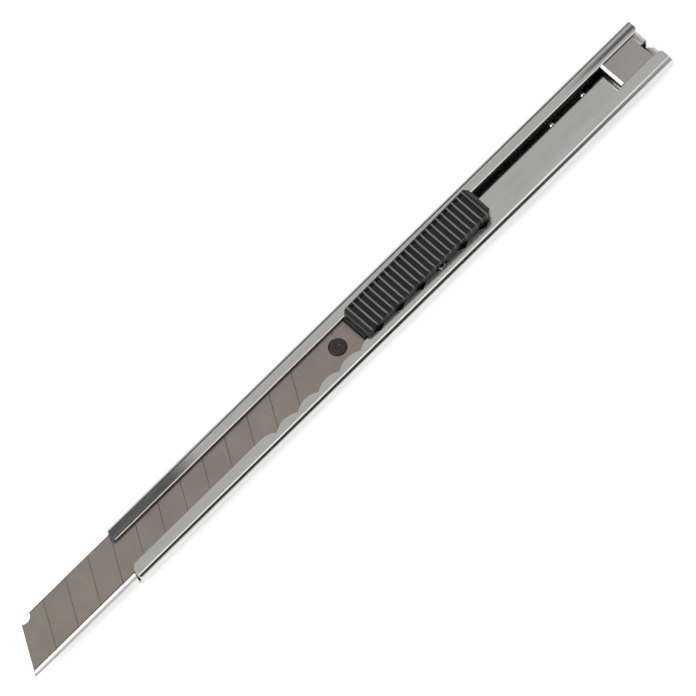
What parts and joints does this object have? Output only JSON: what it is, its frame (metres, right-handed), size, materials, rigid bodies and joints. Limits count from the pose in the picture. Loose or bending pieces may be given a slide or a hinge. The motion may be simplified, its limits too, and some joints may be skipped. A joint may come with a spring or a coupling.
{
  "type": "snap-off utility knife",
  "caption": "Slim auto-lock snap-off utility knife: folded stainless sleeve, ribbed thumb slider, scored blade and spring pocket clip.",
  "frame": {"origin": "middle of the knife's overall length and width, level with the lowest point of the pocket clip's flared end", "axes": "+X from the blade tip to the tail, +Y towards the blade's spine side, +Z towards the thumb slider; the cutting edge and the scalloped lip are on the -Y side"},
  "size_m": [0.1508, 0.0108, 0.0075],
  "materials": {
    "sleeve_stainless": "bright rolled stainless sheet with fine lengthwise polishing lines",
    "blade_steel": "satin carbon tool steel, brownish grey, with a bright ground edge",
    "black_oxide_steel": "black oxide, low sheen",
    "carrier_stainless": "mill finish stainless strip",
    "black_plastic": "black moulded plastic with a soft sheen on the rib tops",
    "spring_steel": "bright spring strip",
    "clip_stainless": "satin spring stainless strip"
  },
  "bodies": {
    "sleeve": {"sleeve": "sleeve_stainless"},
    "slider_unit": {"thumb_slider": "black_plastic", "blade_carrier": "carrier_stainless", "blade_peg": "black_oxide_steel", "carrier_rivets": "carrier_stainless", "snap_off_blade": "blade_steel", "lock_spring": "spring_steel"},
    "clip": {"pocket_clip": "clip_stainless"}
  },
  "joints": [
    {"name": "slider_travel", "type": "slide", "parent": "sleeve", "child": "slider_unit", "axis": [-1, 0, 0], "range_m": [-0.025, 0.035], "deforming": ["lock_spring"]},
    {"name": "clip_pull", "type": "slide", "parent": "sleeve", "child": "clip", "axis": [1, 0, 0], "range_m": [0, 0.012]}
  ]
}
